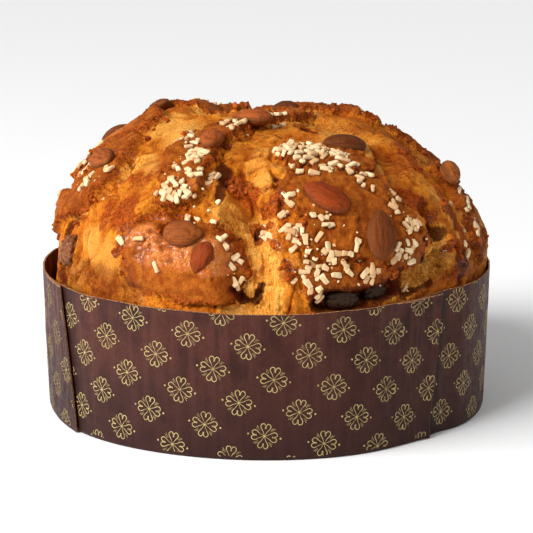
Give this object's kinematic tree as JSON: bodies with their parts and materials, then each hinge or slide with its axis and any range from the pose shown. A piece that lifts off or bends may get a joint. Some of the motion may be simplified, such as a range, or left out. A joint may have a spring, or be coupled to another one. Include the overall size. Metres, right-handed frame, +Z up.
{
  "type": "panettone",
  "caption": "Low, wide almond-glazed panettone in its brown printed paper case, with whole almonds and pearl sugar on a torn dome.",
  "frame": {"origin": "on the surface it stands on, under the middle of the case", "axes": "+Z up, -Y towards the side that the picture shows, +X to that side's right"},
  "size_m": [0.21, 0.2099, 0.1415],
  "materials": {
    "paper": "dark brown coated baking paper, satin, with a khaki print",
    "crust": "golden brown baked dough and matt almond glaze with white pearl sugar",
    "almond": "grooved brown almond skin, matt",
    "fruit": "dark baked fruit, slightly glossy"
  },
  "bodies": {
    "root": {"case_wall": "paper", "case_base": "paper", "bread": "crust", "almond_01": "almond", "almond_02": "almond", "almond_03": "almond", "almond_04": "almond", "almond_05": "almond", "almond_06": "almond", "almond_07": "almond", "almond_08": "almond", "almond_09": "almond", "almond_10": "almond", "almond_11": "almond", "almond_12": "almond", "almond_13": "almond", "almond_14": "almond", "almond_15": "almond", "almond_16": "almond", "almond_17": "almond", "almond_18": "almond", "almond_19": "almond", "almond_20": "almond", "almond_21": "almond", "fruit_left": "fruit", "raisin_front": "fruit", "raisin_right": "fruit"}
  },
  "joints": []
}
